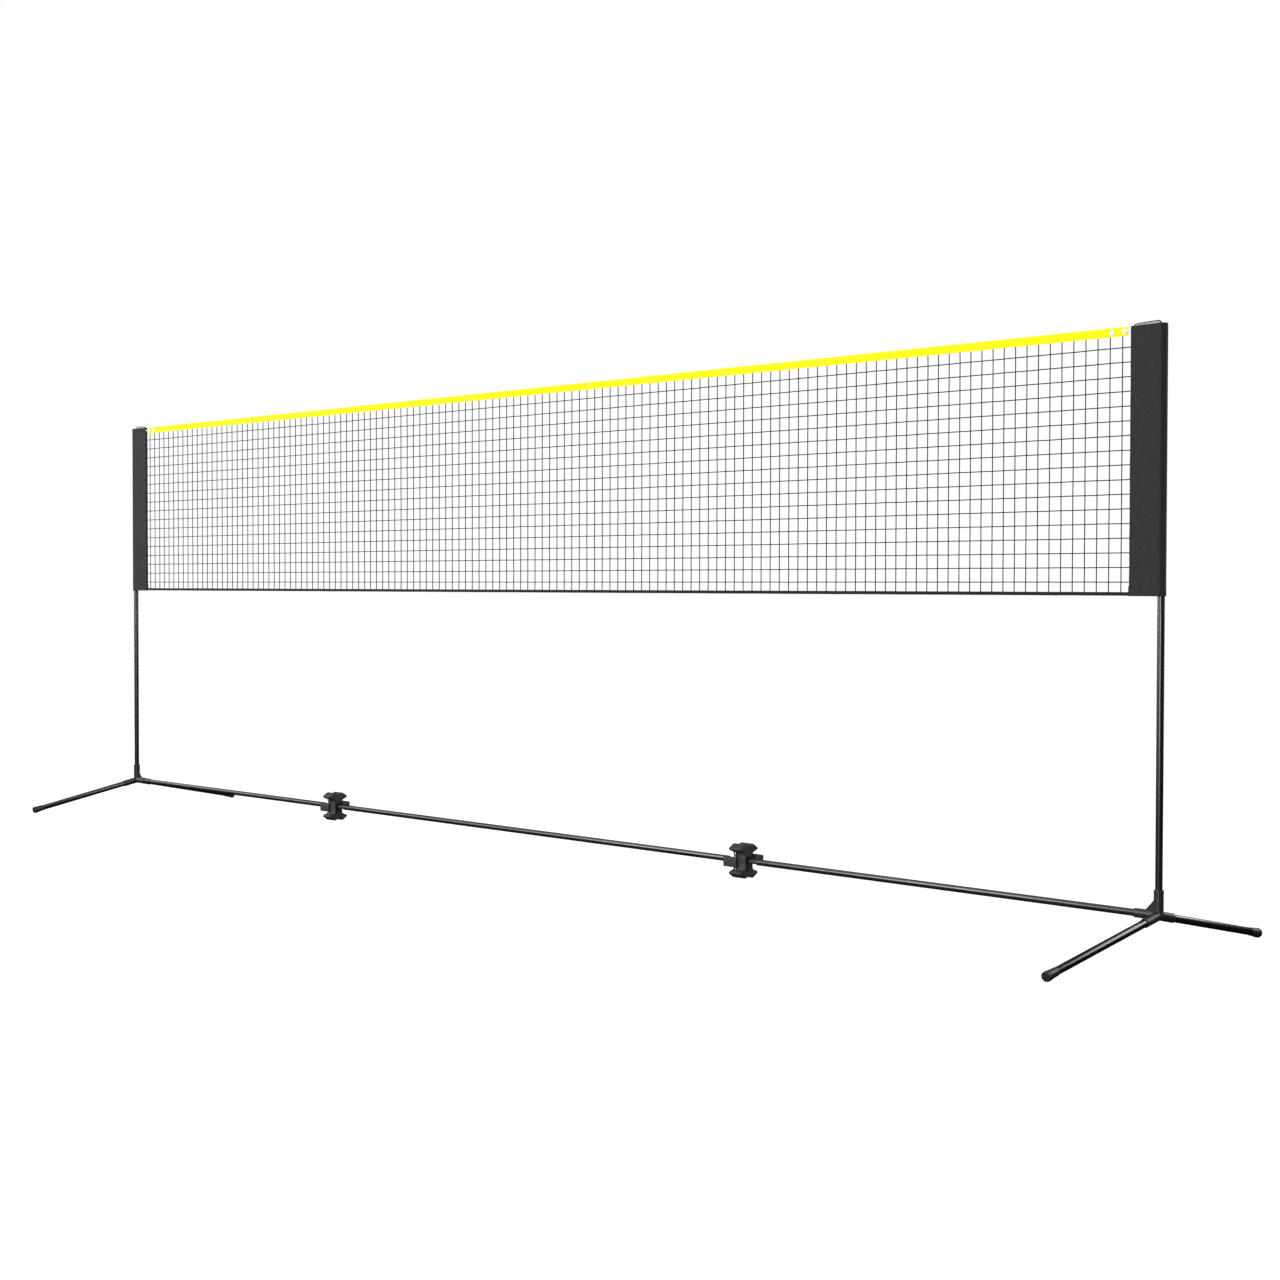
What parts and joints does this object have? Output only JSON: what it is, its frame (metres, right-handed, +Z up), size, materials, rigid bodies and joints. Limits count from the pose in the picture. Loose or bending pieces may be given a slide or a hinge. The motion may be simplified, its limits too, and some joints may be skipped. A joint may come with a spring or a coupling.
{
  "type": "portable sports net stand",
  "caption": "Free-standing sports net with end sleeves on telescoping masts, hubs with sloping feet and a folding ground bar.",
  "frame": {"origin": "on the floor under the middle of the net, midway between the masts", "axes": "+X along the net towards the right mast, +Y towards the back of the stand, +Z up"},
  "size_m": [5.1728, 0.974, 1.634],
  "materials": {
    "black_steel_tube": "satin",
    "hub_plastic": "matte",
    "clip_plastic": "matte",
    "cap_rubber": "satin",
    "bright_steel": "satin",
    "sleeve_fabric": "matte",
    "grey_webbing": "matte",
    "eyelet_metal": "gloss",
    "white_cord": "matte",
    "net_twine": "matte",
    "yellow_tape": "matte",
    "black_tape": "matte"
  },
  "bodies": {
    "center_frame": {"center_bar": "black_steel_tube", "right_clip_front": "clip_plastic", "right_clip_back": "clip_plastic", "right_clip_screw_upper": "bright_steel", "right_clip_screw_lower": "bright_steel", "right_fixed_plug": "clip_plastic", "right_plug_rivet": "bright_steel", "right_hinge_pin": "bright_steel", "left_clip_front": "clip_plastic", "left_clip_back": "clip_plastic", "left_clip_screw_upper": "bright_steel", "left_clip_screw_lower": "bright_steel", "left_fixed_plug": "clip_plastic", "left_plug_rivet": "bright_steel", "left_hinge_pin": "bright_steel"},
    "right_wing": {"right_hinge_plug": "clip_plastic", "right_outer_bar": "black_steel_tube", "right_hub": "hub_plastic", "right_front_foot": "black_steel_tube", "right_front_foot_cap": "cap_rubber", "right_back_foot": "black_steel_tube", "right_back_foot_cap": "cap_rubber", "right_lower_mast": "black_steel_tube"},
    "right_mast": {"right_upper_mast": "black_steel_tube", "right_mast_cap": "cap_rubber", "right_snap_spring": "bright_steel"},
    "right_button": {"right_snap_button": "bright_steel"},
    "left_wing": {"left_hinge_plug": "clip_plastic", "left_outer_bar": "black_steel_tube", "left_hub": "hub_plastic", "left_front_foot": "black_steel_tube", "left_front_foot_cap": "cap_rubber", "left_back_foot": "black_steel_tube", "left_back_foot_cap": "cap_rubber", "left_lower_mast": "black_steel_tube"},
    "left_mast": {"left_upper_mast": "black_steel_tube", "left_mast_cap": "cap_rubber", "left_snap_spring": "bright_steel"},
    "left_button": {"left_snap_button": "bright_steel"},
    "net_center": {"net_middle": "net_twine", "top_tape_middle": "yellow_tape", "bottom_tape_middle": "black_tape"},
    "net_right_end": {"net_right": "net_twine", "top_tape_right": "yellow_tape", "bottom_tape_right": "black_tape", "right_sleeve": "sleeve_fabric", "right_sleeve_strap": "grey_webbing", "right_outer_grommet": "eyelet_metal", "right_inner_grommet": "eyelet_metal", "right_tape_cord": "white_cord"},
    "net_left_end": {"net_left": "net_twine", "top_tape_left": "yellow_tape", "bottom_tape_left": "black_tape", "left_sleeve": "sleeve_fabric", "left_sleeve_strap": "grey_webbing", "left_outer_grommet": "eyelet_metal", "left_inner_grommet": "eyelet_metal", "left_tape_cord": "white_cord"}
  },
  "joints": [
    {"name": "net_height", "type": "slide", "parent": "center_frame", "child": "net_center", "axis": [0, 0, 1], "range_m": [-0.618, 0]},
    {"name": "right_fold", "type": "hinge", "parent": "center_frame", "child": "right_wing", "pos_m": [1.1, 0.021, 0.11], "axis": [0, 0, 1], "range_deg": [0, 160]},
    {"name": "right_mast_slide", "type": "slide", "parent": "right_wing", "child": "right_mast", "axis": [0, 0, 1], "range_m": [-0.618, 0]},
    {"name": "right_button_press", "type": "slide", "parent": "right_mast", "child": "right_button", "axis": [0, -1, 0], "range_m": [0, 0.0045], "stiffness_N_per_m": 1200, "springref_m": -0.004, "deforming": ["right_snap_spring"]},
    {"name": "net_right_fold", "type": "hinge", "parent": "net_center", "child": "net_right_end", "pos_m": [1.1, 0.021, 1.28], "axis": [0, 0, 1], "range_deg": [0, 160]},
    {"name": "left_fold", "type": "hinge", "parent": "center_frame", "child": "left_wing", "pos_m": [-1.1, -0.021, 0.11], "axis": [0, 0, 1], "range_deg": [0, 160]},
    {"name": "left_mast_slide", "type": "slide", "parent": "left_wing", "child": "left_mast", "axis": [0, 0, 1], "range_m": [-0.618, 0]},
    {"name": "left_button_press", "type": "slide", "parent": "left_mast", "child": "left_button", "axis": [0, -1, 0], "range_m": [0, 0.0045], "stiffness_N_per_m": 1200, "springref_m": -0.004, "deforming": ["left_snap_spring"]},
    {"name": "net_left_fold", "type": "hinge", "parent": "net_center", "child": "net_left_end", "pos_m": [-1.1, -0.021, 1.28], "axis": [0, 0, 1], "range_deg": [0, 160]}
  ],
  "couplings": [
    {"joint": "right_mast_slide", "follows": "net_height", "ratio": 1},
    {"joint": "net_right_fold", "follows": "right_fold", "ratio": 1},
    {"joint": "left_mast_slide", "follows": "net_height", "ratio": 1},
    {"joint": "net_left_fold", "follows": "left_fold", "ratio": 1}
  ]
}
